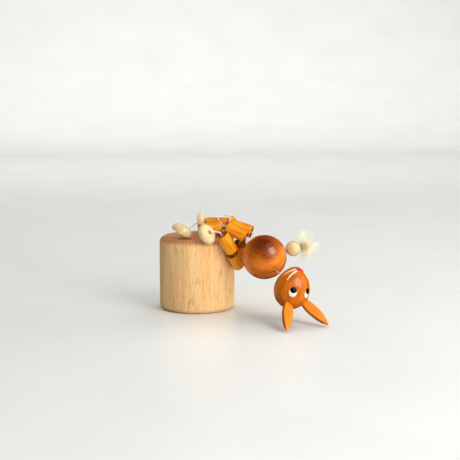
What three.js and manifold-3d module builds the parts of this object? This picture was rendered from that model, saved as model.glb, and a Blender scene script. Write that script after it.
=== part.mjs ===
// Push-up toy rabbit on a round beech base, shown slumped over the edge of the base.
// Millimetres, +Z up, -Y is the side seen from the front. The base stands upright.
// Cords run from a sprung button inside the base up through four jointed legs to a round
// body. Pressing the button slackens the cords and the figure folds; it stands when released.

import * as THREE from 'three';
import { mergeVertices } from 'three/addons/utils/BufferGeometryUtils.js';
import Module from 'manifold-3d';

const wasm = await Module();
wasm.setup();

// ---------------------------------------------------------------- driving dimensions
const BASE_R = 20;            // round base, 40 mm across
const BASE_H = 38.8;
const BASE_TOP_ROUND = 3.5;   // rounding of the top rim
const BASE_FOOT_ROUND = 2.6;  // rounding of the bottom rim
const RECESS_R = 15.2;        // thumb recess, open below
const RECESS_TOP = 30;        // ceiling of the recess
const CORD_HOLE_R = 1.0;      // every cord hole
const CORD_R = 0.32;
const PROUD = 0.6;            // a slack cord runs straight this far past a bore
const KNOT_R = 1.25;

const BUTTON_R = 14.7;
const BUTTON_T = 4.5;
const BUTTON_PRESSED_Z = 9.0; // underside of the button while it is held in
const SPRING_R = 4.6;         // mean radius
const SPRING_WIRE_R = 0.4;
const SPRING_TURNS = 7;

const LEG_R = 3.35;           // turned leg cylinders
const LEG_L = 11.5;
const LEG_EDGE = 0.45;
const FOOT_L = 11.3;          // pebble foot with a flat sole
const FOOT_W = 9.0;
const FOOT_H = 4.2;

const BODY_R = 11.4;          // round body
const TAIL_R = 3.95;          // tail bead
const TAIL_LIFT = THREE.MathUtils.degToRad(14);   // the tail leaves the body this far above level
const TUFT_L = 9.5;           // frayed cord end behind the bead
const HEAD_HALF_L = 10.7;     // egg head, nose to crown
const HEAD_HALF_W = 8.7;
const NOSE_DROP = 30;         // degrees that the nose points below level when the head is upright
const EAR_L = 20.2;
const EAR_W = 6.4;
const EAR_T = 2.0;
const EAR_IN = 1.6;           // length of ear inside its slot in the head

const HOLE_SIDE = 5.1;        // cord holes in the base, to the side and fore and aft
const HOLE_FORE = 6.2;
const BODY_HOLE_SIDE = 4.0;   // and where the cords enter the underside of the body
const BODY_HOLE_FORE = 4.2;

// ---------------------------------------------------------------- where the pieces lie
// A leg cylinder is placed by the centres of its two ends, the end towards its foot first.
const LEGS = {
  front_left: {
    lower: [[12.5, -21.6, 42.3], [18.3, -17.8, 32.9]],
    upper: [[18.0, -16.5, 31.6], [21.9, -8.9, 24.1]],
  },
  front_right: {
    lower: [[1.6, -8.9, 42.5], [12.7, -6.7, 44.4]],
    upper: [[16.9, 7.5, 46.2], [24.0, 2.8, 38.4]],
  },
  back_right: {
    lower: [[5.6, 3.5, 44.7], [16.2, 0.0, 44.9]],
    upper: [[15.6, -10.4, 44.5], [25.8, -13.6, 39.8]],
  },
  back_left: {
    lower: [[18.3, -3.9, 44.7], [28.9, -6.6, 41.4]],
    upper: [[22.5, -9.6, 35.8], [23.8, -1.6, 27.7]],
  },
};
// A foot is placed by the centre of its sole, the way its dome faces and the way its toe points.
const FEET = {
  front_left: { sole: [4.3, -18.9, 41.6], up: [0.56, -0.69, 0.46], toe: [0.55, -0.10, -0.83] },
  front_right: { sole: [-8.5, -11.4, 41.6], up: [0.51, -0.02, 0.86], toe: [-0.85, 0.09, 0.51] },
  back_right: { sole: [0.7, 4.7, 44.6], up: [0.99, -0.14, 0.05], toe: [-0.05, 0.19, 0.98] },
  back_left: { sole: [10.3, 12.0, 41.4], up: [0.25, 0.18, 0.95], toe: [0.96, 0.0, -0.25] },
};
// Points that the slack cords pass on their way round the other pieces: base to foot, foot to
// lower leg, lower to upper leg, upper leg to body.
const SLACK = {
  front_left: [[[6.6, -4.2, 39.1]], [], [], [[25.8, -9.4, 24.9]]],
  front_right: [[[-6.6, -7.7, 39.8]], [], [[10.9, -0.9, 48.7]], [[26.4, -15.4, 37.3]]],
  back_right: [[], [], [[15.2, -5.2, 44.7]], []],
  back_left: [[], [[17.6, 0.7, 48.8]], [[29.5, -7.9, 39.2]], [[26.3, -1.3, 26.7]]],
};
const BODY_AT = [34.7, -22.0, 30.5];
const BODY_UP = [0.487, -0.721, -0.493];    // from the body's centre to its neck hole
const BODY_FORE = [-0.865, -0.319, -0.388];    // towards its chest, away from the tail
const HEAD_AT = [47.5, -41.0, 18.0];
const HEAD_UP = [0.322, -0.826, -0.463];
const HEAD_FORE = [0.474, -0.283, 0.834];
// Ear root, tip and the way its flat face looks, seen from the head's centre.
const EARS = {
  left: [[3.1, 4.9, 7.7], [9.4, 10.0, 24.1], [0.16, -0.54, 0.82]],
  right: [[-7.0, 3.3, 4.9], [-13.6, 2.9, 22.0], [0.23, -0.84, 0.49]],
};

// ---------------------------------------------------------------- finishes
const finish = (name, color, roughness, metalness = 0) =>
  new THREE.MeshStandardMaterial({ name, color, roughness, metalness });
const BEECH = finish('beech_oiled', 0xe2b57c, 0.5);
const MAPLE = finish('pale_wood_varnished', 0xe8cf96, 0.32);
const ORANGE = finish('orange_stained_wood', 0xd9770f, 0.3);
const EAR_FINISH = finish('orange_stained_ear', 0xd0730f, 0.42);
const BROWN = finish('brown_stained_wood', 0x8a3c12, 0.25);
const HEAD_FINISH = finish('brown_stained_head', 0xa9500f, 0.3);
const CORD = finish('white_cord', 0xe9e2d4, 0.85);
const TUFT = finish('frayed_cord', 0xeee3c0, 0.95);
const STEEL = finish('spring_steel', 0xb9bcc0, 0.3, 1);

// ---------------------------------------------------------------- helpers
const vec = (a) => new THREE.Vector3(...a);

// Joins and cuts closed geometries.
function solid(geometry) {
  const g = geometry.clone();
  g.deleteAttribute('normal');
  g.deleteAttribute('uv');
  const merged = mergeVertices(g, 1e-4);
  return new wasm.Manifold(new wasm.Mesh({
    numProp: 3,
    vertProperties: new Float32Array(merged.attributes.position.array),
    triVerts: new Uint32Array(merged.index.array),
  }));
}

function fromSolid(manifold) {
  const mesh = manifold.getMesh();
  const g = new THREE.BufferGeometry();
  g.setAttribute('position', new THREE.BufferAttribute(new Float32Array(mesh.vertProperties), 3));
  g.setIndex(new THREE.BufferAttribute(new Uint32Array(mesh.triVerts), 1));
  g.computeVertexNormals();
  return g;
}

const cut = (geometry, ...tools) =>
  fromSolid(tools.reduce((s, t) => s.subtract(solid(t)), solid(geometry)));
const join = (geometry, ...others) =>
  fromSolid(others.reduce((s, t) => s.add(solid(t)), solid(geometry)));

// A straight drill from one point to another.
function drill(from, to, r, sides = 10) {
  const a = vec(from);
  const b = vec(to);
  const g = new THREE.CylinderGeometry(r, r, a.distanceTo(b), sides);
  g.rotateX(Math.PI / 2);
  const turn = new THREE.Quaternion().setFromUnitVectors(
    new THREE.Vector3(0, 0, 1), b.clone().sub(a).normalize());
  g.applyQuaternion(turn);
  g.translate((a.x + b.x) / 2, (a.y + b.y) / 2, (a.z + b.z) / 2);
  return g;
}

// Turned shape about +Z from a profile of [radius, height] points.
function turned(profile, segments) {
  const g = new THREE.LatheGeometry(profile.map(([r, z]) => new THREE.Vector2(r, z)), segments);
  g.rotateX(Math.PI / 2);
  return g;
}

function arc(cx, cz, r, from, to, steps) {
  return Array.from({ length: steps + 1 }, (_, i) => {
    const t = THREE.MathUtils.degToRad(from + ((to - from) * i) / steps);
    return [cx + r * Math.cos(t), cz + r * Math.sin(t)];
  });
}

// Tube of a round section along a curve, closed at both ends.
function tube(curve, r, steps, sides = 8) {
  const section = new THREE.Shape(Array.from({ length: sides }, (_, i) => {
    const t = (2 * Math.PI * i) / sides;
    return new THREE.Vector2(r * Math.cos(t), r * Math.sin(t));
  }));
  return new THREE.ExtrudeGeometry(section, { steps, extrudePath: curve, bevelEnabled: false });
}

// Turns local +Z to `up` and local -Y towards `fore`, at a point.
function placement(at, up, fore) {
  const z = vec(up).normalize();
  const f = vec(fore);
  const y = f.sub(z.clone().multiplyScalar(z.dot(f))).normalize().negate();
  const x = y.clone().cross(z);
  return new THREE.Matrix4().makeBasis(x, y, z).setPosition(vec(at));
}

function add(parent, name, geometry, material, matrix) {
  const mesh = new THREE.Mesh(geometry, material);
  mesh.name = name;
  if (matrix) matrix.decompose(mesh.position, mesh.quaternion, mesh.scale);
  parent.add(mesh);
  return mesh;
}

// ---------------------------------------------------------------- pieces
// The four legs, and where their cords pass through the base.
const HOLES = {
  front_left: new THREE.Vector2(HOLE_SIDE, -HOLE_FORE),
  front_right: new THREE.Vector2(-HOLE_SIDE, -HOLE_FORE),
  back_left: new THREE.Vector2(HOLE_SIDE, HOLE_FORE),
  back_right: new THREE.Vector2(-HOLE_SIDE, HOLE_FORE),
};

function baseGeometry() {
  const lip = 0.8;
  const profile = [
    [0, RECESS_TOP], [RECESS_R, RECESS_TOP], [RECESS_R, lip], [RECESS_R + lip, 0],
    ...arc(BASE_R - BASE_FOOT_ROUND, BASE_FOOT_ROUND, BASE_FOOT_ROUND, -90, 0, 4),
    ...arc(BASE_R - BASE_TOP_ROUND, BASE_H - BASE_TOP_ROUND, BASE_TOP_ROUND, 0, 90, 5),
    [0, BASE_H],
  ];
  const holes = Object.values(HOLES).map(({ x, y }) =>
    drill([x, y, RECESS_TOP - 2], [x, y, BASE_H + 2], CORD_HOLE_R, 8));
  return cut(turned(profile, 40), ...holes);
}

function buttonGeometry() {
  const e = 0.7;
  const profile = [
    [0, 0], [BUTTON_R - e, 0], [BUTTON_R, e], [BUTTON_R, BUTTON_T - e],
    [BUTTON_R - e, BUTTON_T], [0, BUTTON_T],
  ];
  const holes = Object.values(HOLES).map(({ x, y }) =>
    drill([x, y, -2], [x, y, BUTTON_T + 2], CORD_HOLE_R));
  return cut(turned(profile, 32), ...holes);
}

function springGeometry() {
  const low = BUTTON_PRESSED_Z + BUTTON_T + SPRING_WIRE_R + 0.3;
  const high = RECESS_TOP - SPRING_WIRE_R - 0.3;
  class Helix extends THREE.Curve {
    getPoint(t, target = new THREE.Vector3()) {
      const a = 2 * Math.PI * SPRING_TURNS * t;
      return target.set(SPRING_R * Math.cos(a), SPRING_R * Math.sin(a), low + (high - low) * t);
    }
  }
  return tube(new Helix(), SPRING_WIRE_R, SPRING_TURNS * 10, 5);
}

function legGeometry() {
  const h = LEG_L / 2;
  const e = LEG_EDGE;
  return turned([
    [CORD_HOLE_R, -h], [LEG_R - e, -h], [LEG_R, -h + e], [LEG_R, h - e], [LEG_R - e, h],
    [CORD_HOLE_R, h], [CORD_HOLE_R, -h],
  ], 22);
}

// Oval pebble, widest low down, with a flat sole and a hole for the cord.
function footGeometry() {
  const outline = [[0, 0], [0.8, 0], [0.93, 0.1], [1, 0.34], [0.96, 0.55], [0.84, 0.75], [0.6, 0.91],
    [0.3, 0.98], [0, 1]];
  const g = turned(outline, 22);
  g.scale(FOOT_W / 2, FOOT_L / 2, FOOT_H);
  return cut(g, drill([0, 0, -1], [0, 0, FOOT_H + 1], CORD_HOLE_R, 8));
}

const DEPTH = 5;   // blind holes for the cords in the body and the head

function bodyGeometry() {
  const ball = new THREE.SphereGeometry(BODY_R, 32, 18);
  ball.rotateX(Math.PI / 2);
  const below = Math.sqrt(BODY_R ** 2 - BODY_HOLE_SIDE ** 2 - BODY_HOLE_FORE ** 2);
  const legHoles = [-1, 1].flatMap((i) => [-1, 1].map((j) =>
    drill([i * BODY_HOLE_SIDE, j * BODY_HOLE_FORE, -below - 4],
      [i * BODY_HOLE_SIDE, j * BODY_HOLE_FORE, DEPTH - below], CORD_HOLE_R)));
  const neck = drill([0, 0, BODY_R + 2], [0, 0, BODY_R - DEPTH], CORD_HOLE_R);
  const tailHole = (r) => [0, r * Math.cos(TAIL_LIFT), r * Math.sin(TAIL_LIFT)];
  const tail = drill(tailHole(BODY_R + 2), tailHole(BODY_R - DEPTH), CORD_HOLE_R);
  return cut(ball, ...legHoles, neck, tail);
}

function tailGeometry() {
  const bead = new THREE.SphereGeometry(TAIL_R, 16, 11);
  bead.rotateX(Math.PI / 2);
  return cut(bead, drill([0, 0, -TAIL_R - 1], [0, 0, TAIL_R + 1], CORD_HOLE_R));
}

// Soft brush of fibres, narrow where it leaves the bead.
function tuftGeometry() {
  const profile = [[0, 0], [0.7, 0], [1.1, 1.2], [2.6, 3.4], [4.6, 5.8], [5.2, 7.6], [3.6, TUFT_L],
    [0, TUFT_L]];
  return turned(profile, 14);
}

// Egg along +Z, narrow at the nose (+Z).
function eggGeometry() {
  const steps = 18;
  const profile = Array.from({ length: steps + 1 }, (_, i) => {
    const t = (Math.PI * i) / steps;
    const z = -Math.cos(t);
    const taper = 1 - 0.13 * z - 0.05 * z * z;
    return [i === 0 || i === steps ? 0 : HEAD_HALF_W * Math.sin(t) * taper * 1.02, HEAD_HALF_L * z];
  });
  return turned(profile, 28);
}

// Flat pointed oval from its root along +Z, its face towards -Y.
function earGeometry() {
  const shape = new THREE.Shape();
  const side = 10;
  const edge = (s) => (EAR_W / 2) * Math.sin(Math.PI * (0.14 + 0.86 * s)) ** 0.75;
  const outline = [];
  for (let i = 0; i <= side; i += 1) outline.push([edge(i / side), (EAR_L * i) / side]);
  outline[side][0] = 0.25;
  const points = [...outline, ...outline.map(([x, z]) => [-x, z]).reverse()];
  shape.setFromPoints(points.map(([x, z]) => new THREE.Vector2(x, z)));
  const bevel = 0.5;
  const g = new THREE.ExtrudeGeometry(shape, {
    depth: EAR_T - 2 * bevel, bevelEnabled: true, bevelThickness: bevel, bevelSize: bevel * 0.5,
    bevelOffset: -bevel * 0.5, bevelSegments: 1,
  });
  g.translate(0, 0, -(EAR_T - 2 * bevel) / 2);
  g.rotateX(Math.PI / 2);
  return g;
}

// ---------------------------------------------------------------- assembly
const parts = new THREE.Group();

add(parts, 'base', baseGeometry(), BEECH);
add(parts, 'button', buttonGeometry(), BEECH,
  new THREE.Matrix4().makeTranslation(0, 0, BUTTON_PRESSED_Z));
add(parts, 'button_spring', springGeometry(), STEEL);

const bodyMatrix = placement(BODY_AT, BODY_UP, BODY_FORE);
add(parts, 'body', bodyGeometry(), BROWN, bodyMatrix);

// Local direction of the tail: backwards and a little up.
const tailDir = new THREE.Vector3(0, Math.cos(TAIL_LIFT), Math.sin(TAIL_LIFT));
const onBody = (distance) => tailDir.clone().multiplyScalar(distance).applyMatrix4(bodyMatrix);
const tailOut = onBody(1).sub(onBody(0));
const beadAt = onBody(BODY_R + TAIL_R + 0.3);
add(parts, 'tail_bead', tailGeometry(), MAPLE,
  placement(beadAt.toArray(), tailOut.clone().negate().toArray(), [0, 0.2, 1]));
add(parts, 'tail_tuft', tuftGeometry(), TUFT,
  placement(onBody(BODY_R + 2 * TAIL_R + 0.7).toArray(), tailOut.toArray(), [0, 0.2, 1]));
add(parts, 'tail_cord', tube(new THREE.LineCurve3(onBody(BODY_R - DEPTH + 1.5),
  onBody(BODY_R + 2 * TAIL_R + 0.4)), CORD_R, 2), CORD);

// The head is built about its own upright axes, the egg tilted nose down.
const headMatrix = placement(HEAD_AT, HEAD_UP, HEAD_FORE);
const eggTurn = new THREE.Matrix4().makeRotationX(
  Math.PI / 2 + THREE.MathUtils.degToRad(NOSE_DROP));
const ears = Object.entries(EARS).map(([side, [root, tip, face]]) => {
  const along = vec(tip).sub(vec(root));
  return [side, placement(root, along.toArray(), face)];
});
const head = eggGeometry().applyMatrix4(eggTurn);
const neckMouth = new THREE.Vector3(0, 0, -HEAD_HALF_W);
const sockets = ears.map(([, m]) => {
  const socket = earGeometry();
  socket.scale(1.12, 1.35, 1);
  return socket.translate(0, 0, -EAR_IN - 0.3).applyMatrix4(m);
});
add(parts, 'head', cut(head, ...sockets,
  drill([0, 0, neckMouth.z - 4], [0, 0, neckMouth.z + DEPTH], CORD_HOLE_R)), HEAD_FINISH, headMatrix);
ears.forEach(([side, m]) => add(parts, `ear_${side}`,
  earGeometry().translate(0, 0, -EAR_IN), EAR_FINISH, headMatrix.clone().multiply(m)));

// A cord is a run of straight stretches through the bores, joined by soft bends across the gaps.
class Route extends THREE.Curve {
  constructor(stretches, bendSteps = 5, by = []) {
    super();
    this.cells = [];
    stretches.forEach(([a, b], i) => {
      if (i > 0) {
        const [p, q] = stretches[i - 1];
        const out = q.clone().sub(p).normalize();
        const into = b.clone().sub(a).normalize();
        const ease = Math.min(0.6, 0.2 * q.distanceTo(a));
        const between = (by[i - 1] ?? []).map(vec);
        this.cells.push([new THREE.CatmullRomCurve3([q, q.clone().addScaledVector(out, ease), ...between,
          a.clone().addScaledVector(into, -ease), a], false, 'centripetal'),
        bendSteps + 3 * between.length]);
      }
      this.cells.push([new THREE.LineCurve3(a, b), 1]);
    });
    this.steps = this.cells.reduce((n, [, k]) => n + k, 0);
  }

  at(t, method) {
    let k = Math.min(Math.max(t, 0), 1) * this.steps;
    for (const [curve, n] of this.cells) {
      if (k <= n) return curve[method](k / n);
      k -= n;
    }
    const [curve] = this.cells.at(-1);
    return curve[method](1);
  }

  getPoint(t) { return this.at(t, 'getPoint'); }

  getPointAt(t) { return this.getPoint(t); }

  getTangent(t) { return this.at(t, 'getTangent'); }

  getTangentAt(t) { return this.getTangent(t); }
}

// Straight stretches from mouth to mouth, each drawn out a little way past its own mouths.
function proud(stretches) {
  const runs = stretches.map(([a, b]) => [a.clone(), b.clone()]);
  for (let i = 1; i < runs.length; i += 1) {
    const [p, q] = stretches[i - 1];
    const [a, b] = stretches[i];
    const past = Math.min(PROUD, 0.25 * q.distanceTo(a));
    runs[i - 1][1].addScaledVector(q.clone().sub(p).normalize(), past);
    runs[i][0].addScaledVector(b.clone().sub(a).normalize(), -past);
  }
  return runs;
}

for (const [name, leg] of Object.entries(LEGS)) {
  for (const part of ['lower', 'upper']) {
    const [footEnd, bodyEnd] = leg[part].map(vec);
    const middle = footEnd.clone().lerp(bodyEnd, 0.5);
    const axis = bodyEnd.clone().sub(footEnd).normalize();
    leg[`${part}Run`] = [-1, 1].map((k) => middle.clone().addScaledVector(axis, (k * LEG_L) / 2));
    add(parts, `leg_${part}_${name}`, legGeometry(), ORANGE,
      placement(middle.toArray(), axis.toArray(), [0.1, -1, 0.2]));
  }
  const { sole, up, toe } = FEET[name];
  const m = placement(sole, up, toe);
  add(parts, `foot_${name}`, footGeometry(), MAPLE, m);
  const footRun = [0, FOOT_H].map((z) => new THREE.Vector3(0, 0, z).applyMatrix4(m));

  const hole = HOLES[name];
  const knot = new THREE.Vector3(hole.x, hole.y, BUTTON_PRESSED_Z - KNOT_R - 0.35);
  const baseRun = [knot, new THREE.Vector3(hole.x, hole.y, BASE_H)];
  // Mouth of this leg's hole under the body.
  const side = name.endsWith('left') ? BODY_HOLE_SIDE : -BODY_HOLE_SIDE;
  const fore = name.startsWith('front') ? -BODY_HOLE_FORE : BODY_HOLE_FORE;
  const depth = Math.sqrt(BODY_R ** 2 - side ** 2 - fore ** 2);
  const bodyRun = [new THREE.Vector3(side, fore, -depth).applyMatrix4(bodyMatrix),
    new THREE.Vector3(side, fore, 3.5 - depth).applyMatrix4(bodyMatrix)];
  const route = new Route(proud([baseRun, footRun, leg.lowerRun, leg.upperRun, bodyRun]), 5, SLACK[name]);
  const knotGeometry = new THREE.SphereGeometry(KNOT_R, 10, 8).translate(knot.x, knot.y, knot.z);
  add(parts, `leg_cord_${name}`, join(tube(route, CORD_R, route.steps), knotGeometry), CORD);
}

// Neck cord, slack between the body and the head.
const neckRun = [
  [new THREE.Vector3(0, 0, BODY_R - DEPTH + 1.5).applyMatrix4(bodyMatrix),
    new THREE.Vector3(0, 0, BODY_R).applyMatrix4(bodyMatrix)],
  [new THREE.Vector3(0, 0, neckMouth.z).applyMatrix4(headMatrix),
    new THREE.Vector3(0, 0, neckMouth.z + DEPTH - 1.5).applyMatrix4(headMatrix)],
];
const neckRoute = new Route(proud(neckRun), 10);
add(parts, 'neck_cord', tube(neckRoute, CORD_R, neckRoute.steps), CORD);

// The frame's origin is under the middle of the whole figure as it lies.
const box = new THREE.Box3().setFromObject(parts, true);
parts.position.set(-(box.min.x + box.max.x) / 2, -(box.min.y + box.max.y) / 2, -box.min.z);

const toy = new THREE.Group();
toy.add(parts);
export default toy;
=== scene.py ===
"""Push puppet rabbit slumped over the edge of its round beech base."""
import math
import random

import bmesh
import bpy
from mathutils import Matrix, Vector


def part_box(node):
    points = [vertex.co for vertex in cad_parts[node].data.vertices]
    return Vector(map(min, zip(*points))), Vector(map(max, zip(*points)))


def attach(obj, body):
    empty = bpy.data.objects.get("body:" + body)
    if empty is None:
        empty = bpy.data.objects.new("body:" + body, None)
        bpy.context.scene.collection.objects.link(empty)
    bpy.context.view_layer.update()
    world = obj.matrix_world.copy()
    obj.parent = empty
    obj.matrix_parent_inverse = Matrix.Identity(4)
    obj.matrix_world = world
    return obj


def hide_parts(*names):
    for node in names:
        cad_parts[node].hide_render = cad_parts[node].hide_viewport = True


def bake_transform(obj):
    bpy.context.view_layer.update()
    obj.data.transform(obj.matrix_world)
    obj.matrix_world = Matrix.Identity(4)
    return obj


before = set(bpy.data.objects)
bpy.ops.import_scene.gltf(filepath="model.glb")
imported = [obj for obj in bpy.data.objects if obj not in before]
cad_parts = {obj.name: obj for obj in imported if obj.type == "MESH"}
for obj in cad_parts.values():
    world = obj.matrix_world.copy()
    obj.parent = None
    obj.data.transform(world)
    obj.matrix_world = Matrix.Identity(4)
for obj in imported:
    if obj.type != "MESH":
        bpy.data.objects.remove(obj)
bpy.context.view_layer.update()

# ------------------------------------------------------------------ sizes (mm)
# These are the CAD model's own sizes, except that the cords are thinner: 0.25 in radius, 0.32 there.
BASE_R, BASE_H, BASE_TOP_ROUND, BASE_FOOT_ROUND = 20.0, 38.8, 3.5, 2.6
RECESS_R, RECESS_TOP = 15.2, 30.0
HOLE_R, CORD_R, PROUD, KNOT_R = 1.0, 0.25, 0.6, 1.25
BUTTON_R, BUTTON_T, BUTTON_Z = 14.7, 4.5, 9.0
SPRING_R, SPRING_WIRE_R, SPRING_TURNS = 4.6, 0.4, 7
LEG_R, LEG_L, LEG_EDGE = 3.35, 11.5, 0.45
FOOT_L, FOOT_W, FOOT_H = 11.3, 9.0, 4.2
BODY_R, TAIL_R, TAIL_LIFT, TUFT_L = 11.4, 3.95, math.radians(14), 9.5
HEAD_HALF_L, HEAD_HALF_W, NOSE_DROP = 10.7, 8.7, 30.0
EAR_L, EAR_W, EAR_T, EAR_IN = 20.2, 6.4, 2.0, 1.6
HOLE_SIDE, HOLE_FORE = 5.1, 6.2                 # the cord holes of base and button, from their middle
BODY_HOLE_SIDE, BODY_HOLE_FORE, DEPTH = 4.0, 4.2, 5.0     # the blind holes of the body, and their depth
CORD_STEP, CORD_INSIDE = 0.25, 2.2              # spacing of a cord's points, and its reach into a bore
KNOT_CLEARANCE = 0.35                           # between a knot and the underside of the button

LEGS = {
    "front_left": (((12.5, -21.6, 42.3), (18.3, -17.8, 32.9)), ((18.0, -16.5, 31.6), (21.9, -8.9, 24.1))),
    "front_right": (((1.6, -8.9, 42.5), (12.7, -6.7, 44.4)), ((16.9, 7.5, 46.2), (24.0, 2.8, 38.4))),
    "back_right": (((5.6, 3.5, 44.7), (16.2, 0.0, 44.9)), ((15.6, -10.4, 44.5), (25.8, -13.6, 39.8))),
    "back_left": (((18.3, -3.9, 44.7), (28.9, -6.6, 41.4)), ((22.5, -9.6, 35.8), (23.8, -1.6, 27.7))),
}
FEET = {  # middle of the sole, way the dome faces, way the toe points
    "front_left": ((4.3, -18.9, 41.6), (0.56, -0.69, 0.46), (0.55, -0.1, -0.83)),
    "front_right": ((-8.5, -11.4, 41.6), (0.51, -0.02, 0.86), (-0.85, 0.09, 0.51)),
    "back_right": ((0.7, 4.7, 44.6), (0.99, -0.14, 0.05), (-0.05, 0.19, 0.98)),
    "back_left": ((10.3, 12.0, 41.4), (0.25, 0.18, 0.95), (0.96, 0.0, -0.25)),
}
SLACK = {  # points that the slack cords pass, gap by gap
    "front_left": [[(6.6, -4.2, 39.1)], [], [], [(25.8, -9.4, 24.9)]],
    "front_right": [[(-6.6, -7.7, 39.8)], [], [(10.9, -0.9, 48.7)], [(26.4, -15.4, 37.3)]],
    "back_right": [[], [], [(15.2, -5.2, 44.7)], []],
    "back_left": [[], [(17.6, 0.7, 48.8)], [(29.5, -7.9, 39.2)], [(26.3, -1.3, 26.7)]],
}
BODY = ((34.7, -22.0, 30.5), (0.487, -0.721, -0.493), (-0.865, -0.319, -0.388))
HEAD = ((47.5, -41.0, 18.0), (0.322, -0.826, -0.463), (0.474, -0.283, 0.834))
EARS = {  # root, tip and the way the flat face looks
    "left": ((3.1, 4.9, 7.7), (9.4, 10.0, 24.1), (0.16, -0.54, 0.82)),
    "right": ((-7.0, 3.3, 4.9), (-13.6, 2.9, 22.0), (0.23, -0.84, 0.49)),
}

low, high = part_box("base")
AXIS = ((low[0] + high[0]) / 2, (low[1] + high[1]) / 2)   # the base's axis in the row frame


def at(p):
    """Row frame point, in metres, of a point given from the foot of the base's axis in mm."""
    return Vector((p[0] / 1000 + AXIS[0], p[1] / 1000 + AXIS[1], p[2] / 1000))


def placement(where, up, fore):
    """Local +Z to up and local -Y towards fore; local units are mm."""
    z = Vector(up).normalized()
    f = Vector(fore)
    y = -(f - z * z.dot(f)).normalized()
    x = y.cross(z)
    m = Matrix((x, y, z)).transposed().to_4x4()
    m.translation = at(where)
    return m @ Matrix.Scale(0.001, 4)


# ------------------------------------------------------------------ camera, light and stage
VIEW_DISTANCE, VIEW_HEIGHT, VIEW_ELEVATION = 590.0, 19.4, math.radians(10)
camera = bpy.data.objects.new("camera", bpy.data.cameras.new("camera"))
bpy.context.scene.collection.objects.link(camera)
camera.location = at((0, -VIEW_DISTANCE * math.cos(VIEW_ELEVATION),
                      VIEW_HEIGHT + VIEW_DISTANCE * math.sin(VIEW_ELEVATION)))
target = at((17.7, 3.8, 41.1))
camera.rotation_euler = (target - camera.location).to_track_quat("-Z", "Y").to_euler()
camera.data.lens = 86.1
camera.data.sensor_width = 36.0
camera.data.clip_start = 0.01
camera.data.clip_end = 20.0
bpy.context.scene.camera = camera


WARM = (1.0, 0.985, 0.965)


def area_light(name, where, aim, width, height, watts, color=(1, 1, 1), mirrored=False):
    """A soft light; the glossy pieces mirror it only if mirrored is true."""
    data = bpy.data.lights.new(name, "AREA")
    data.shape, data.size, data.size_y, data.energy, data.color = "ELLIPSE", width, height, watts, color
    light = bpy.data.objects.new(name, data)
    bpy.context.scene.collection.objects.link(light)
    light.location = at(where)
    light.rotation_euler = (at(aim) - light.location).to_track_quat("-Z", "Y").to_euler()
    light.visible_glossy = mirrored
    return light


area_light("key", (460, -440, 480), (20, -10, 20), 0.48, 0.48, 3.1, WARM, mirrored=True)
area_light("window", (-50, -520, 540), (20, -10, 40), 0.13, 0.13, 0.3, WARM)
area_light("front", (400, -600, 140), (10, 0, 20), 0.8, 0.5, 3.9, WARM)
area_light("side", (660, 40, 130), (0, 0, 20), 0.5, 0.3, 1.9)
area_light("top", (0, 80, 620), (0, 0, 0), 0.9, 0.9, 1.35)
area_light("wall", (0, 900, 1100), (0, 2900, 300), 3.0, 1.2, 13.8, mirrored=True)
area_light("horizon", (0, 800, 800), (0, 800, 0), 2.6, 1.2, 13.8)

world = bpy.data.worlds.new("studio")
bpy.context.scene.world = world
bpy.context.scene.view_settings.view_transform = "Standard"
world.use_nodes = True
world.node_tree.nodes["Background"].inputs["Color"].default_value = (0.93, 0.95, 0.95, 1)
world.node_tree.nodes["Background"].inputs["Strength"].default_value = 0.14
world.cycles_visibility.glossy = False


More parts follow.
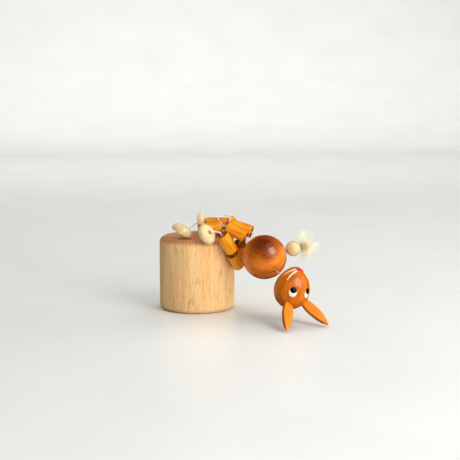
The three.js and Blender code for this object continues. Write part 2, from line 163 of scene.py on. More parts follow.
# ------------------------------------------------------------------ material tools
class Mat:
    """A node material built a line at a time."""

    def __init__(self, name, roughness=0.4, coat=0.0, coat_roughness=0.1, metallic=0.0, sheen=0.0,
                 specular=0.5):
        self.m = bpy.data.materials.new(name)
        self.m.use_nodes = True
        self.tree = self.m.node_tree
        self.shader = self.tree.nodes["Principled BSDF"]
        for socket, value in (("Roughness", roughness), ("Coat Weight", coat),
                              ("Coat Roughness", coat_roughness), ("Metallic", metallic),
                              ("Sheen Weight", sheen), ("Specular IOR Level", specular)):
            self.shader.inputs[socket].default_value = value
        texture_space = self.node("ShaderNodeTexCoord")
        self.coords, self.normals = texture_space.outputs["Object"], texture_space.outputs["Normal"]

    def node(self, kind, **settings):
        n = self.tree.nodes.new(kind)
        for key, value in settings.items():
            setattr(n, key, value)
        return n

    def link(self, a, b):
        self.tree.links.new(a, b)

    def mapped(self, scale, rotation=(0, 0, 0), location=(0, 0, 0), source=None):
        n = self.node("ShaderNodeMapping")
        n.inputs["Scale"].default_value = scale
        n.inputs["Rotation"].default_value = rotation
        n.inputs["Location"].default_value = location
        self.link(source or self.coords, n.inputs["Vector"])
        return n.outputs["Vector"]

    def noise(self, vector, scale=1.0, detail=4.0, roughness=0.55, distortion=0.0):
        n = self.node("ShaderNodeTexNoise")
        for socket, value in (("Scale", scale), ("Detail", detail), ("Roughness", roughness),
                              ("Distortion", distortion)):
            n.inputs[socket].default_value = value
        self.link(vector, n.inputs["Vector"])
        return n.outputs["Fac"]

    def ramp(self, fac, *stops):
        """Colour ramp; a stop is (position, colour) or (position, grey)."""
        n = self.node("ShaderNodeValToRGB")
        ramp = n.color_ramp
        while len(ramp.elements) < len(stops):
            ramp.elements.new(0.5)
        for element, (position, value) in zip(ramp.elements, stops):
            element.position = position
            element.color = (*value, 1) if isinstance(value, tuple) else (value, value, value, 1)
        self.link(fac, n.inputs["Fac"])
        return n.outputs["Color"]

    def mix(self, fac, a, b, mode="MIX"):
        n = self.node("ShaderNodeMix", data_type="RGBA", blend_type=mode)
        for socket, value in ((n.inputs["Factor"], fac), (n.inputs[6], a), (n.inputs[7], b)):
            if isinstance(value, (int, float)):
                socket.default_value = value
            elif isinstance(value, tuple):
                socket.default_value = (*value, 1)
            else:
                self.link(value, socket)
        return n.outputs[2]

    def math(self, operation, a, b=0.0):
        n = self.node("ShaderNodeMath", operation=operation)
        for socket, value in zip(n.inputs, (a, b)):
            if isinstance(value, (int, float)):
                socket.default_value = value
            else:
                self.link(value, socket)
        return n.outputs[0]

    def color(self, output):
        self.link(output, self.shader.inputs["Base Color"])

    def roughness(self, output):
        self.link(output, self.shader.inputs["Roughness"])

    def bump(self, height, distance, strength=1.0):
        n = self.node("ShaderNodeBump")
        n.inputs["Strength"].default_value = strength
        n.inputs["Distance"].default_value = distance
        self.link(height, n.inputs["Height"])
        self.link(n.outputs["Normal"], self.shader.inputs["Normal"])


def srgb(r, g, b):
    """Linear colour of an 8-bit one."""
    return tuple(((c / 255 + 0.055) / 1.055) ** 2.4 if c > 10 else c / 255 / 12.92 for c in (r, g, b))


# Pieces with their own placement are in mm, so texture scales there are per mm.
def stained_wood(name, light, mid, dark, roughness, coat, grain=(0.9, 0.9, 0.09), pores=0.5, seed=0.0,
                 cloudy=0.12, dark_ends=None, rim=None):
    """Turned and stained wood: streaks, fine pores, an uneven stain, a darker colour towards both ends of one
    local axis, and painted shade on the edges of flat pieces.

    The argument for darker ends is (axis, distance from the middle at which it starts, distance at which it
    is full, colour); on a leg it is the end grain of its end faces."""
    m = Mat(name, roughness=roughness, coat=coat, coat_roughness=roughness * 0.6, specular=0.3)
    streak = m.noise(m.mapped(grain, location=(seed, seed * 0.7, 0)), 1.3, 5, 0.6, 0.5)
    cloud = m.noise(m.mapped((0.11, 0.11, 0.08), location=(seed, 3.1, seed)), 1.0, 2, 0.5)
    finer = tuple(6 * g if g > 0.2 else 3 * g for g in grain)
    fine = m.noise(m.mapped(finer, location=(0, seed, 2)), 1.0, 3, 0.6)
    base = m.ramp(streak, (0.32, dark), (0.46, mid), (0.64, light))
    stain = m.ramp(cloud, (0.35, 1.0 - cloudy), (0.62, 1.0))
    base = m.mix(1.0, base, stain, "MULTIPLY")
    pore = m.ramp(fine, (0.34, 1.0 - pores), (0.45, 1.0))
    base = m.mix(0.7, base, pore, "MULTIPLY")
    if dark_ends:
        axis, start, full, colour = dark_ends
        split = m.node("ShaderNodeSeparateXYZ")
        m.link(m.coords, split.inputs[0])
        reach = m.math("ADD", m.math("ABSOLUTE", split.outputs[axis]), m.math("MULTIPLY", streak, 2.4))
        reach = m.math("MULTIPLY", reach, 0.05)
        base = m.mix(m.ramp(reach, ((start + 1.2) * 0.05, 0.0), ((full + 1.2) * 0.05, 1.0)), base, colour)
    if rim:     # painted shade: the edge of a flat piece, whose faces look along local Y, is darker
        split = m.node("ShaderNodeSeparateXYZ")
        m.link(m.normals, split.inputs[0])
        base = m.mix(m.ramp(m.math("ABSOLUTE", split.outputs[1]), (0.35, 1.0), (0.97, 0.0)), base, rim)
    m.color(base)
    m.roughness(m.ramp(fine, (0.3, roughness + 0.12), (0.6, roughness)))
    m.bump(m.mix(0.5, fine, streak), 0.012, 0.25)
    return m.m


def beech_wood():
    """Steamed beech, grain upright: fine streaks, short dark ray flecks and end grain on top."""
    m = Mat("beech_oiled", roughness=0.5, coat=0.1, coat_roughness=0.3)
    light, mid, dark = srgb(250, 216, 160), srgb(243, 195, 133), srgb(226, 166, 102)
    broad = m.noise(m.mapped((0.16, 0.16, 0.012), location=(3.0, 1.0, 0)), 1.0, 3, 0.5, 0.4)
    streak = m.noise(m.mapped((1.5, 1.5, 0.05), location=(1, 2, 3)), 1.0, 4, 0.6)
    side = m.mix(0.55, m.ramp(broad, (0.3, dark), (0.5, mid), (0.68, light)),
                 m.ramp(streak, (0.3, dark), (0.5, mid), (0.7, light)))
    lean = (0.03, 0.05, 0)      # the grain stands a little askew
    long = m.noise(m.mapped((1.5, 1.5, 0.2), rotation=lean, location=(5, 7, 2)), 1.0, 1, 0.3)
    fleck = m.ramp(long, (0.635, 0.0), (0.7, 1.0))
    short = m.noise(m.mapped((2.8, 2.8, 0.36), rotation=lean, location=(2, 4, 9)), 1.0, 1, 0.3)
    fleck_small = m.ramp(short, (0.63, 0.0), (0.7, 0.8))
    side = m.mix(m.math("MULTIPLY", fleck, 0.6), side, srgb(186, 124, 70))
    side = m.mix(m.math("MULTIPLY", fleck_small, 0.4), side, srgb(196, 138, 84))
    # end grain: rings about a far pith, and pores
    split = m.node("ShaderNodeSeparateXYZ")
    m.link(m.node("ShaderNodeNewGeometry").outputs["Normal"], split.inputs[0])
    end = m.ramp(split.outputs["Z"], (0.12, 0.0), (0.62, 1.0))
    rings = m.node("ShaderNodeTexWave", wave_type="RINGS", rings_direction="Z")
    rings.inputs["Scale"].default_value = 0.55
    rings.inputs["Distortion"].default_value = 6.0
    rings.inputs["Detail"].default_value = 3.0
    m.link(m.mapped((0.32, 0.32, 0.0), location=(18, 9, 0)), rings.inputs["Vector"])
    pores = m.noise(m.mapped((3.2, 3.2, 3.2)), 1.0, 3, 0.6)
    top = m.ramp(rings.outputs["Fac"], (0.2, srgb(192, 128, 78)), (0.8, srgb(204, 141, 90)))
    top = m.mix(m.ramp(pores, (0.38, 0.55), (0.5, 0.0)), top, srgb(168, 108, 64))
    m.color(m.mix(end, side, top))
    m.roughness(m.ramp(streak, (0.3, 0.6), (0.7, 0.46)))
    m.bump(m.mix(0.5, streak, m.math("SUBTRACT", 1.0, fleck)), 0.03, 0.3)
    return m.m


def cotton(name, light, dark, fibres, soft=0.0):
    """Cotton with fibres to a unit of its own coordinates; soft is its share of light passed on."""
    m = Mat(name, roughness=0.9, sheen=0.35)
    m.shader.inputs["Subsurface Weight"].default_value = soft
    m.shader.inputs["Subsurface Radius"].default_value = (1.0, 0.95, 0.85)
    m.shader.inputs["Subsurface Scale"].default_value = 0.00015
    fibre = m.noise(m.mapped((fibres, fibres, fibres)), 0.35, 3, 0.6)
    m.color(m.ramp(fibre, (0.3, dark), (0.62, light)))
    m.bump(fibre, 0.00006, 0.6)
    return m.m


def paint(name, rgb, roughness=0.28):
    m = Mat(name, roughness=roughness, coat=0.1, coat_roughness=0.1, specular=0.4)
    spot = m.noise(m.coords, 1.7, 3, 0.5)
    m.color(m.ramp(spot, (0.3, tuple(c * 0.86 for c in rgb)), (0.7, rgb)))
    m.bump(spot, 0.02, 0.2)
    return m.m


BEECH = beech_wood()
PALE = stained_wood("pale_wood_varnished", srgb(236, 216, 168), srgb(231, 203, 150),
                    srgb(214, 176, 120), 0.22, 0.7, grain=(0.32, 0.32, 0.12), pores=0.05, seed=2.0,
                    cloudy=0.05)
ORANGE = stained_wood("orange_stained_wood", srgb(252, 172, 36), srgb(244, 152, 20),
                      srgb(210, 106, 8), 0.2, 0.9, grain=(0.7, 0.7, 0.06), pores=0.16, seed=5.0,
                      dark_ends=(2, 5.35, 5.75, srgb(112, 42, 8)))
# the rim colour is painted shade on the ears' edges
EAR = stained_wood("orange_stained_ear", srgb(238, 142, 40), srgb(230, 128, 26), srgb(192, 90, 12), 0.42, 0.1,
                   grain=(1.2, 0.5, 0.09), pores=0.3, seed=8.0, cloudy=0.08, rim=srgb(164, 74, 12))
# darker towards both ends of the ball's local X: its upper front and its lower back as placed
BROWN = stained_wood("brown_stained_wood", srgb(238, 138, 40), srgb(220, 114, 22),
                     srgb(188, 84, 10), 0.27, 1.0,
                     grain=(0.3, 0.07, 0.07), pores=0.05, seed=11.0, cloudy=0.3,
                     dark_ends=(0, 5.6, 11.4, srgb(104, 32, 2)))
HEAD_WOOD = stained_wood("brown_stained_head", srgb(216, 118, 14), srgb(202, 102, 8),
                         srgb(176, 82, 4), 0.24, 0.9,
                         grain=(0.5, 0.5, 0.09), pores=0.08, seed=14.0, cloudy=0.14)
CORD = cotton("white_cord", srgb(244, 240, 230), srgb(214, 204, 186), 9000)
TUFT = cotton("frayed_cord", srgb(255, 240, 204), srgb(250, 226, 176), 9, soft=0.6)
WHITE = paint("white_paint", srgb(240, 234, 212))
BLACK = paint("black_paint", srgb(10, 11, 18), 0.2)
RED = paint("red_paint", srgb(206, 34, 26))
CREAM = paint("cream_paint", srgb(248, 236, 206))


def steel():
    m = Mat("spring_steel", roughness=0.32, metallic=1.0)
    drawn = m.noise(m.mapped((3000, 3000, 3000)), 0.5, 3, 0.5)
    m.color(m.ramp(drawn, (0.3, srgb(150, 152, 156)), (0.7, srgb(196, 198, 202))))
    m.roughness(m.ramp(drawn, (0.3, 0.4), (0.7, 0.26)))
    return m.m


STEEL = steel()


# ------------------------------------------------------------------ mesh tools
def make(name, verts, faces, material, matrix=None, sharp=None):
    """A smooth-shaded mesh object; matrix takes local mm to the row frame."""
    mesh = bpy.data.meshes.new(name)
    mesh.from_pydata([tuple(v) for v in verts], [], faces)
    bm = bmesh.new()
    bm.from_mesh(mesh)
    bmesh.ops.remove_doubles(bm, verts=bm.verts, dist=1e-7)
    bmesh.ops.recalc_face_normals(bm, faces=bm.faces)
    bm.to_mesh(mesh)
    bm.free()
    mesh.polygons.foreach_set("use_smooth", [True] * len(mesh.polygons))
    if sharp:
        mesh.set_sharp_from_angle(angle=math.radians(sharp))
    mesh.materials.append(material)
    obj = bpy.data.objects.new(name, mesh)
    bpy.context.scene.collection.objects.link(obj)
    if matrix is not None:
        obj.matrix_world = matrix
    return obj


def circle(r, a):
    return r * math.cos(a), r * math.sin(a)


def lathe(profile, segments, section=circle):
    """Rings about local Z from (radius, height); section(radius, angle) gives x and y.

    A profile that doesn't start on the axis is closed into a ring."""
    verts, faces = [], []
    for r, z in profile:
        for k in range(segments):
            verts.append((*section(r, 2 * math.pi * k / segments), z))
    closed = abs(profile[0][0]) > 1e-6
    rings = len(profile)
    for i in range(rings if closed else rings - 1):
        j = (i + 1) % rings
        for k in range(segments):
            n = (k + 1) % segments
            faces.append((i * segments + k, i * segments + n, j * segments + n, j * segments + k))
    return verts, faces


def arc(cx, cz, r, start, end, steps):
    return [(cx + r * math.cos(math.radians(start + (end - start) * i / steps)),
             cz + r * math.sin(math.radians(start + (end - start) * i / steps))) for i in range(steps + 1)]


def drilled(obj, holes, segments=20):
    """Cuts round holes, each (start, end, radius) in obj's own coordinates."""
    for start, end, radius in holes:
        a, b = Vector(start), Vector(end)
        verts, faces = lathe([(0, 0), (radius, 0), (radius, (b - a).length), (0, (b - a).length)], segments)
        turn = Vector((0, 0, 1)).rotation_difference(b - a).to_matrix()
        cutter = make("cutter", [a + turn @ Vector(v) for v in verts], faces, obj.data.materials[0],
                      obj.matrix_world)
        cut = obj.modifiers.new("hole", "BOOLEAN")
        cut.operation, cut.solver, cut.object = "DIFFERENCE", "EXACT", cutter
        bpy.context.view_layer.update()
        done = bpy.data.meshes.new_from_object(obj.evaluated_get(bpy.context.evaluated_depsgraph_get()))
        obj.modifiers.clear()
        obj.data = done
        bpy.data.objects.remove(cutter)
    obj.data.polygons.foreach_set("use_smooth", [True] * len(obj.data.polygons))
    obj.data.set_sharp_from_angle(angle=math.radians(38))
    return obj


def curve_points(points, spacing):
    """Points of a centripetal Catmull-Rom curve through the given ones, about spacing apart."""
    pts = [Vector(p) for p in points]
    pts = [2 * pts[0] - pts[1]] + pts + [2 * pts[-1] - pts[-2]]
    out = []
    for i in range(1, len(pts) - 2):
        p0, p1, p2, p3 = pts[i - 1:i + 3]
        d0, d1, d2 = (max((b - a).length ** 0.5, 1e-4) for a, b in ((p0, p1), (p1, p2), (p2, p3)))
        t1 = ((p1 - p0) / d0 - (p2 - p0) / (d0 + d1) + (p2 - p1) / d1) * d1
        t2 = ((p2 - p1) / d1 - (p3 - p1) / (d1 + d2) + (p3 - p2) / d2) * d1
        steps = max(2, round((p2 - p1).length / spacing))
        for k in range(steps):
            t = k / steps
            square, cube = 3 * (p2 - p1) - 2 * t1 - t2, 2 * (p1 - p2) + t1 + t2
            out.append(p1 + t1 * t + square * t ** 2 + cube * t ** 3)
    out.append(pts[-2])
    return out


def rope(name, path, radius, material, twist=2.6, sides=12, plies=3):
    """Twisted cord: a lobed section that turns along the path. Path in the row frame, metres."""
    verts, faces = [], []
    tangent = (path[1] - path[0]).normalized()
    side = tangent.orthogonal().normalized()
    run = 0.0
    for i, p in enumerate(path):
        ahead = path[min(i + 1, len(path) - 1)] - path[max(i - 1, 0)]
        ahead.normalize()
        side = (side - ahead * side.dot(ahead)).normalized()
        other = ahead.cross(side)
        if i:
            run += (p - path[i - 1]).length
        for k in range(sides):
            a = 2 * math.pi * k / sides
            r = radius * (0.86 + 0.14 * math.cos(plies * (a + run * 1000 * twist)))
            verts.append(p + side * (r * math.cos(a)) + other * (r * math.sin(a)))
    for i in range(len(path) - 1):
        for k in range(sides):
            n = (k + 1) % sides
            faces.append((i * sides + k, i * sides + n, (i + 1) * sides + n, (i + 1) * sides + k))
    faces.append(tuple(range(sides)))
    faces.append(tuple((len(path) - 1) * sides + k for k in reversed(range(sides))))
    return make(name, verts, faces, material)


# ------------------------------------------------------------------ base, button and spring
HOLES = {n: (HOLE_SIDE if n.endswith("left") else -HOLE_SIDE,
             -HOLE_FORE if n.startswith("front") else HOLE_FORE) for n in LEGS}
base_at = Matrix.Translation(at((0, 0, 0))) @ Matrix.Scale(0.001, 4)
LIP = 0.8
profile = ([(0.0, RECESS_TOP)] + arc(RECESS_R - 0.6, RECESS_TOP - 0.6, 0.6, 90, 0, 3)
           + [(RECESS_R, z) for z in (24, 16, 8, LIP)] + [(RECESS_R + 0.25, 0.25), (RECESS_R + LIP, 0.0)]
           + arc(BASE_R - BASE_FOOT_ROUND, BASE_FOOT_ROUND, BASE_FOOT_ROUND, -90, 0, 10)
           + [(BASE_R, z) for z in (8, 16, 24, 30)]
           + arc(BASE_R - BASE_TOP_ROUND, BASE_H - BASE_TOP_ROUND, BASE_TOP_ROUND, 0, 90, 14)
           + [(0.0, BASE_H)])
verts, faces = lathe(profile, 128)
base = make("base_block", verts, faces, BEECH, base_at)
drilled(base, [((x, y, RECESS_TOP - 2), (x, y, BASE_H + 2), HOLE_R) for x, y in HOLES.values()])
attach(base, "base")
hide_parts("base")

E = 0.7
profile = ([(0.0, 0.0), (BUTTON_R - 2.5, 0.0)] + arc(BUTTON_R - E, E, E, -90, 0, 4)
           + arc(BUTTON_R - E, BUTTON_T - E, E, 0, 90, 4) + [(0.0, BUTTON_T)])
verts, faces = lathe(profile, 96)
button = make("thumb_button", verts, faces, BEECH, base_at @ Matrix.Translation((0, 0, BUTTON_Z)))
drilled(button, [((x, y, -2), (x, y, BUTTON_T + 2), HOLE_R) for x, y in HOLES.values()])
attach(button, "button")
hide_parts("button")

SPRING_CLEARANCE = 0.3
low_z = BUTTON_Z + BUTTON_T + SPRING_WIRE_R + SPRING_CLEARANCE
high_z = RECESS_TOP - SPRING_WIRE_R - SPRING_CLEARANCE
helix = []
for i in range(SPRING_TURNS * 24 + 1):
    t = i / (SPRING_TURNS * 24)
    a = 2 * math.pi * SPRING_TURNS * t
    helix.append(at((SPRING_R * math.cos(a), SPRING_R * math.sin(a), low_z + (high_z - low_z) * t)))
spring = rope("coil_spring", helix, SPRING_WIRE_R / 1000, STEEL, twist=0, plies=0, sides=10)
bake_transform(spring)
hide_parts("button_spring")


# ------------------------------------------------------------------ legs and feet
def leg_mesh():
    h, e = LEG_L / 2, LEG_EDGE
    profile = (arc(HOLE_R + 0.15, -h + 0.15, 0.15, 180, 270, 3) + arc(LEG_R - e, -h + e, e, -90, 0, 5)
               + [(LEG_R, z * h) for z in (-0.5, 0.0, 0.5)] + arc(LEG_R - e, h - e, e, 0, 90, 5)
               + arc(HOLE_R + 0.15, h - 0.15, 0.15, 90, 180, 3))
    return lathe(profile, 64)


# the foot's skin from sole to bore: share of its half width and length, share of its height
FOOT_SHAPE = [(0.86, 0.0), (0.93, 0.015), (0.965, 0.07), (0.99, 0.18), (1.0, 0.32), (0.985, 0.46),
              (0.94, 0.6), (0.86, 0.72), (0.74, 0.83), (0.6, 0.905), (0.46, 0.95), (0.36, 0.97)]


def foot_section(r, a):
    """The oval of the foot's skin, or for a negative radius the circle of its bore."""
    if r < 0:
        return circle(-r, a)
    blunt = 1 + 0.025 * math.cos(2 * a)
    return r * FOOT_W / 2 * math.cos(a) * blunt, r * FOOT_L / 2 * math.sin(a)


def foot_mesh():
    """Oval pebble round a round bore: the section goes from the bore's circle to the oval."""
    top = 0.985
    profile = ([(-HOLE_R, 0.15 / FOOT_H), (-HOLE_R - 0.15, 0.0), (0.5, 0.0)] + FOOT_SHAPE
               + [(-HOLE_R - 0.12, top), (-HOLE_R, top - 0.03)])
    return lathe([(r, z * FOOT_H) for r, z in profile], 64, foot_section)


RUNS = {}
for name, (lower, upper) in LEGS.items():
    for which, (a, b) in (("lower", lower), ("upper", upper)):
        a, b = Vector(a), Vector(b)
        axis, middle = (b - a).normalized(), (a + b) / 2
        RUNS[which, name] = (middle - axis * LEG_L / 2, middle + axis * LEG_L / 2)
        verts, faces = leg_mesh()
        leg = make(f"leg_{which}_{name}_turned", verts, faces, ORANGE,
                   placement(middle, axis, (0.1, -1, 0.2)), sharp=50)
        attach(leg, f"leg_{which}_{name}")
        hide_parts(f"leg_{which}_{name}")
    sole, up, toe = FEET[name]
    up = Vector(up).normalized()
    RUNS["foot", name] = (Vector(sole), Vector(sole) + up * FOOT_H)
    verts, faces = foot_mesh()
    foot = make(f"foot_{name}_pebble", verts, faces, PALE, placement(sole, up, toe), sharp=60)
    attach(foot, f"foot_{name}")
    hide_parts(f"foot_{name}")

# ------------------------------------------------------------------ body and tail
body_at = placement(*BODY)
below = math.sqrt(BODY_R ** 2 - BODY_HOLE_SIDE ** 2 - BODY_HOLE_FORE ** 2)
ball = [(0.0, -BODY_R)] + [(BODY_R * math.sin(math.pi * i / 64), -BODY_R * math.cos(math.pi * i / 64))
                           for i in range(1, 64)] + [(0.0, BODY_R)]
verts, faces = lathe(ball, 96)
body = make("body_ball", verts, faces, BROWN, body_at)
TAIL_DIR = Vector((0, math.cos(TAIL_LIFT), math.sin(TAIL_LIFT)))
holes = [((i * BODY_HOLE_SIDE, j * BODY_HOLE_FORE, -below - 4),
          (i * BODY_HOLE_SIDE, j * BODY_HOLE_FORE, DEPTH - below), HOLE_R)
         for i in (-1, 1) for j in (-1, 1)]
holes += [((0, 0, BODY_R + 2), (0, 0, BODY_R - DEPTH), HOLE_R),
          (TAIL_DIR * (BODY_R + 2), TAIL_DIR * (BODY_R - DEPTH), HOLE_R)]
drilled(body, holes)
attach(body, "body")
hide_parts("body")


def on_body(distance):
    return body_at @ (TAIL_DIR * distance)


tail_out = (on_body(1) - on_body(0)).normalized()


def aligned(where, direction):
    """Local +Z along a direction of the row frame, at a point in metres."""
    m = Vector((0, 0, 1)).rotation_difference(direction).to_matrix().to_4x4()
    m.translation = where
    return m @ Matrix.Scale(0.001, 4)


t0 = math.degrees(math.asin(HOLE_R / TAIL_R))
outer = [(TAIL_R * math.sin(math.radians(d)), TAIL_R * math.cos(math.radians(d)))
         for d in [t0 + 2 + (176 - 2 * t0) * i / 40 for i in range(41)]]
rim = TAIL_R * math.cos(math.radians(t0))
verts, faces = lathe([(HOLE_R, -rim + 0.2), (HOLE_R, rim - 0.2)] + outer, 64)
bead = make("tail_bead_turned", verts, faces, PALE, aligned(on_body(BODY_R + TAIL_R + 0.3), tail_out),
            sharp=50)
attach(bead, "body")
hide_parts("tail_bead")

cord = rope("tail_cord_twisted", [on_body(BODY_R - DEPTH + 1.5 + CORD_STEP * i) for i in range(55)],
            CORD_R / 1000, CORD)
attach(cord, "body")
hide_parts("tail_cord")

# Frayed cord end: fibres that spread from the bead's hole and curl a little.
rng = random.Random(7)
tuft_at = aligned(on_body(BODY_R + 2 * TAIL_R - 0.2),
                  (tail_out + Vector((-0.05, 0, -0.2))).normalized())     # it hangs a little
verts, faces = [], []
STRANDS, STRAND_STEPS = 460, 8
SPREAD_MEAN, SPREAD_SIGMA, SPREAD_MOST = 58, 32, 118    # how far strands lean out, in degrees
for s in range(STRANDS):
    turn = rng.uniform(0, 2 * math.pi)
    spread = math.radians(min(abs(rng.gauss(SPREAD_MEAN, SPREAD_SIGMA)), SPREAD_MOST))
    length = TUFT_L * rng.uniform(0.66, 1.25)
    bend = math.radians(rng.uniform(-30, 52))
    twist = rng.uniform(-0.5, 0.5)
    start = Vector((rng.uniform(-0.45, 0.45), rng.uniform(-0.45, 0.45), -0.5))
    p, width = start, rng.uniform(0.055, 0.1)
    ring = len(verts)
    for k in range(STRAND_STEPS + 1):
        f = k / STRAND_STEPS
        tilt = spread * min(1, 0.25 + 1.1 * f) + bend * (f - 0.3)
        d = Vector((math.sin(tilt) * math.cos(turn + twist * f), math.sin(tilt) * math.sin(turn + twist * f),
                    math.cos(tilt)))
        if k:
            p = p + d * (length / STRAND_STEPS)
        side = d.orthogonal().normalized()
        other = d.cross(side)
        w = width * (1 - 0.6 * f)
        for q in range(3):
            a = 2 * math.pi * q / 3
            verts.append(p + side * (w * math.cos(a)) + other * (w * math.sin(a)))
    for k in range(STRAND_STEPS):
        for q in range(3):
            n = (q + 1) % 3
            faces.append((ring + k * 3 + q, ring + k * 3 + n, ring + (k + 1) * 3 + n, ring + (k + 1) * 3 + q))
    faces.append((ring, ring + 2, ring + 1))
    end_ring = ring + STRAND_STEPS * 3
    faces.append((end_ring, end_ring + 1, end_ring + 2))
tuft = make("tail_tuft_fibres", verts, faces, TUFT, tuft_at)
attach(tuft, "body")
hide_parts("tail_tuft")

# ------------------------------------------------------------------ head
head_at = placement(*HEAD)
egg_turn = Matrix.Rotation(math.pi / 2 + math.radians(NOSE_DROP), 4, "X")
egg_at = head_at @ egg_turn


def egg_radius(z):
    """Radius of the egg at height z from -1, the crown, to 1, the nose."""
    return HEAD_HALF_W * math.sqrt(max(0.0, 1 - z * z)) * (1 - 0.13 * z - 0.05 * z * z) * 1.02


def egg_point(z, angle, out=0.0):
    """A point of the egg's surface, out mm above it; angle 0 is the head's +X side."""
    r = egg_radius(z)
    p = Vector((r * math.cos(angle), r * math.sin(angle), HEAD_HALF_L * z))
    dz = 1e-3
    slope = (egg_radius(z + dz) - egg_radius(z - dz)) / (2 * dz * HEAD_HALF_L)
    n = Vector((math.cos(angle), math.sin(angle), -slope)).normalized()
    return p + n * out, n


rings = 72
heights = [-math.cos(math.pi * i / rings) for i in range(1, rings)]
profile = [(0.0, -HEAD_HALF_L)] + [(egg_radius(z), HEAD_HALF_L * z) for z in heights] + [(0.0, HEAD_HALF_L)]
verts, faces = lathe(profile, 96)
head = make("head_egg", verts, faces, HEAD_WOOD, egg_at)
NECK = Vector((0, 0, -HEAD_HALF_W))
to_egg = egg_turn.inverted()
drilled(head, [(to_egg @ (NECK + Vector((0, 0, -4))), to_egg @ (NECK + Vector((0, 0, DEPTH))),
                HOLE_R)])
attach(head, "head")
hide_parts("head")


def ear_edge(s):
    return (EAR_W / 2) * max(math.sin(math.pi * (0.14 + 0.86 * s)), 0.0) ** 0.75


def ear_mesh():
    """Flat pointed oval with softly rounded edges, root at z 0 and face towards -Y."""
    steps, across = 44, 14
    verts, faces = [], []
    for face in (-1, 1):
        for i in range(steps + 1):
            s = i / steps
            w = max(ear_edge(s), 0.45 * (1 - s) + 0.12)
            t = EAR_T / 2 * min(1.0, 0.35 + 4.2 * (1 - s))
            for j in range(across + 1):
                u = -1 + 2 * j / across
                x = w * math.sin(u * math.pi / 2)
                near = max(0.0, (abs(x) - (w - 0.75)) / 0.75)
                y = t * math.sqrt(max(0.0, 1 - min(1, near) ** 2.4))
                dish = 0.10 * (1 - (x / max(w, 0.1)) ** 2)
                verts.append((x, face * max(0.0, y - dish if near < 1 else 0), EAR_L * s))
    row = across + 1
    sheet = (steps + 1) * row
    for f in range(2):
        for i in range(steps):
            for j in range(across):
                q = f * sheet + i * row + j
                faces.append((q, q + 1, q + row + 1, q + row))
    for i in range(steps):          # the two edges
        for j in (0, across):
            q = i * row + j
            faces.append((q, q + row, q + row + sheet, q + sheet))
    for i in (0, steps):            # root and tip
        for j in range(across):
            q = i * row + j
            faces.append((q, q + 1, q + 1 + sheet, q + sheet))
    return verts, faces


for side, (root, tip, face) in EARS.items():
    z = (Vector(tip) - Vector(root)).normalized()
    f = Vector(face)
    y = -(f - z * z.dot(f)).normalized()
    local = Matrix((y.cross(z), y, z)).transposed().to_4x4()
    local.translation = Vector(root)
    verts, faces = ear_mesh()
    ear = make(f"ear_{side}_shaped", verts, faces, EAR,
               head_at @ local @ Matrix.Translation((0, 0, -EAR_IN)))
    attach(ear, "head")
    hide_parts(f"ear_{side}")


def patch(name, outline, material, lift, dome=0.0, rings=6):
    """A painted patch on the egg: outline is a list of (z, angle) about its middle."""
    n = len(outline)
    cz = sum(p[0] for p in outline) / n
    ca = sum(p[1] for p in outline) / n
    verts, faces = [], []
    for i in range(rings + 1):
        f = i / rings
        h = lift * (1 - f ** 6) + dome * (1 - f * f)
        for z, a in outline:
            verts.append(egg_point(cz + (z - cz) * f, ca + (a - ca) * f, h)[0])
    for i in range(rings):
        for k in range(n):
            m = (k + 1) % n
            faces.append((i * n + k, i * n + m, (i + 1) * n + m, (i + 1) * n + k))
    obj = make(name, verts, faces, material, egg_at)
    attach(obj, "head")
    return obj


def round_patch(name, z, angle, rz, ra, material, lift, dome=0.0, turn=0.0, n=40):
    """Oval patch with its half sizes in mm along and around the egg."""
    r = egg_radius(z)
    outline = []
    for k in range(n):
        t = 2 * math.pi * k / n
        along, around = rz * math.cos(t), ra * math.sin(t)
        along, around = (along * math.cos(turn) - around * math.sin(turn),
                         along * math.sin(turn) + around * math.cos(turn))
        outline.append((z + along / HEAD_HALF_L, angle + around / r))
    return patch(name, outline, material, lift, dome)


FACE = math.radians(85)     # angle of the middle of the face on the egg
for side, sign, eye_z in (("left", -1, -0.23), ("right", 1, -0.12)):
    eye_a = FACE + sign * math.radians(26.5 if side == "left" else 29.5)
    round_patch(f"eye_white_{side}", eye_z, eye_a, 2.05, 2.0, WHITE, 0.05, 0.14)
    round_patch(f"eye_pupil_{side}", eye_z + 0.115, eye_a, 1.78, 1.7, BLACK, 0.1, 0.24)
round_patch("nose_tip", 0.925, FACE - math.radians(9), 1.2, 1.9, RED, 0.06, 0.2)


def stroke(name, knots, widths, material, lift=0.07):
    """A painted line on the egg through (z, angle in degrees), with its widths in mm."""
    flat = [Vector((z * 10, math.radians(a), 0)) for z, a in knots]
    line = [(p.x / 10, p.y) for p in curve_points(flat, 0.16)]
    centre = [egg_point(z, a)[0] for z, a in line]
    verts, faces = [], []
    across = (-1, -0.6, 0, 0.6, 1)
    for i, (z, a) in enumerate(line):
        f = i / (len(line) - 1)
        w = widths[0] + (widths[1] - widths[0]) * f
        w *= min(1.0, 0.35 + 6 * f, 0.25 + 6 * (1 - f)) / 2
        ahead = centre[min(i + 1, len(line) - 1)] - centre[max(i - 1, 0)]
        n = egg_point(z, a)[1]
        side = n.cross(ahead).normalized()
        for u in across:
            verts.append(centre[i] + side * (u * w) + n * (lift * (1 - abs(u) ** 3) + 0.005))
    row = len(across)
    for i in range(len(line) - 1):
        for k in range(row - 1):
            faces.append((i * row + k, i * row + k + 1, (i + 1) * row + k + 1, (i + 1) * row + k))
    obj = make(name, verts, faces, material, egg_at)
    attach(obj, "head")
    return obj


WHISKERS = {"upper": ((0.90, 47), (0.69, 15), (0.43, 0)), "lower": ((0.84, 56), (0.58, 36), (0.27, 28))}
for which, knots in WHISKERS.items():
    stroke(f"whisker_{which}_left", knots, (0.95, 0.45), CREAM)
    mirrored = [(z, 2 * math.degrees(FACE) - a) for z, a in knots]
    stroke(f"whisker_{which}_right", mirrored, (0.95, 0.45), CREAM)

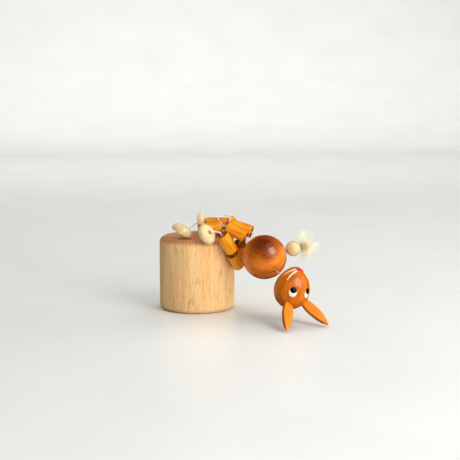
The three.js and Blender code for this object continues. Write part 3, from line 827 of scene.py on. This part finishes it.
# ------------------------------------------------------------------ cords
def gap_route(name, gap):
    """The slack bend across one gap, by the rule part.mjs uses, with a little of the straight runs."""
    side = BODY_HOLE_SIDE if name.endswith("left") else -BODY_HOLE_SIDE
    fore = -BODY_HOLE_FORE if name.startswith("front") else BODY_HOLE_FORE
    to_mm = Matrix.Scale(1000, 4) @ Matrix.Translation(-at((0, 0, 0)))
    mouth = to_mm @ (body_at @ Vector((side, fore, -below)))
    inner = to_mm @ (body_at @ Vector((side, fore, 3.5 - below)))
    x, y = HOLES[name]
    runs = [(Vector((x, y, RECESS_TOP)), Vector((x, y, BASE_H))), RUNS["foot", name], RUNS["lower", name],
            RUNS["upper", name], (mouth, inner)]
    (p, q), (a, b) = runs[gap], runs[gap + 1]
    out, into = (q - p).normalized(), (b - a).normalized()
    past = min(PROUD, 0.25 * (a - q).length)
    start, end = q + out * past, a - into * past
    ease = min(0.6, 0.2 * (end - start).length)
    bend = curve_points([start, start + out * ease, *SLACK[name][gap], end - into * ease, end], 0.22)
    inside = [q - out * (CORD_INSIDE - CORD_STEP * i) for i in range(9)] + [q + out * past * 0.5]
    beyond = [a - into * past * 0.5] + [a + into * CORD_STEP * i for i in range(9)]
    return [at(v) for v in inside + bend + beyond], at(q), at(a)


PAIRS = (("base", "foot_{}"), ("foot_{}", "leg_lower_{}"), ("leg_lower_{}", None), ("leg_upper_{}", "body"))
PLACES = ("sole", "ankle", "knee", "hip")
for name in LEGS:
    x, y = HOLES[name]
    knot_z = BUTTON_Z - KNOT_R - KNOT_CLEARANCE
    inner = [at((x, y, knot_z + 0.5 + CORD_STEP * i))
             for i in range(int((BASE_H - CORD_INSIDE - knot_z) / CORD_STEP))]
    shaft = rope(f"cord_inside_base_{name}", inner, CORD_R / 1000, CORD)
    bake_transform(shaft)
    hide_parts(f"leg_cord_{name}")
    turns = [(KNOT_R * 0.62 + 0.36 * math.cos(3 * t), 2 * t, 0.55 * math.sin(3 * t))
             for t in [2 * math.pi * i / 60 for i in range(60)]]
    loop = [at((x + r * math.cos(t), y + r * math.sin(t), knot_z + h)) for r, t, h in turns]
    knot = rope(f"cord_knot_{name}", loop + loop[:1], CORD_R / 1000, CORD, twist=0.5)
    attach(knot, "button")
    for gap, (place, (first, second)) in enumerate(zip(PLACES, PAIRS)):
        path, q, a = gap_route(name, gap)
        piece = rope(f"cord_{place}_{name}", path, CORD_R / 1000, CORD)
        if second is None:
            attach(piece, first.format(name))
        else:
            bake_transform(piece)

to_mm = Matrix.Scale(1000, 4) @ Matrix.Translation(-at((0, 0, 0)))
neck_a = to_mm @ (body_at @ Vector((0, 0, BODY_R)))
neck_b = to_mm @ (head_at @ NECK)
out = (to_mm @ (body_at @ Vector((0, 0, BODY_R + 1))) - neck_a)
into = (to_mm @ (head_at @ (NECK + Vector((0, 0, 1)))) - neck_b)
past = min(PROUD, 0.25 * (neck_b - neck_a).length)
start, end = neck_a + out * past, neck_b - into * past
ease = min(0.6, 0.2 * (end - start).length)
path = ([neck_a - out * (CORD_INSIDE - CORD_STEP * i) for i in range(9)]
        + curve_points([start, start + out * ease, end - into * ease, end], 0.22)
        + [neck_b + into * CORD_STEP * i for i in range(9)])
neck = rope("neck_cord_twisted", [at(v) for v in path], CORD_R / 1000, CORD)
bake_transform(neck)
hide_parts("neck_cord")


# ------------------------------------------------------------------ floor
def stage_material():
    m = Mat("studio_paper", roughness=0.32, specular=0.35)
    speck = m.noise(m.mapped((14, 14, 14)), 1.0, 3, 0.5)
    m.color(m.ramp(speck, (0.2, srgb(220, 221, 217)), (0.8, srgb(227, 228, 225))))
    return m.m


verts, faces = [], []
BEND_AT, BEND_R, WALL_H = 1.2, 0.8, 3.5      # where the floor turns up into the wall, in metres
bend = [(BEND_AT + BEND_R * math.sin(math.radians(d)), BEND_R - BEND_R * math.cos(math.radians(d)))
        for d in range(6, 91, 6)]
sweep = [(-3.0, 0.0), (BEND_AT, 0.0)] + bend + [(BEND_AT + BEND_R, WALL_H)]
for y, z in sweep:
    verts += [(-4.0, y, z), (4.0, y, z)]
for i in range(len(sweep) - 1):
    faces.append((2 * i, 2 * i + 1, 2 * i + 3, 2 * i + 2))
floor = make("studio_sweep", verts, faces, stage_material())
floor.visible_glossy = False     # the glossy pieces show only the lights
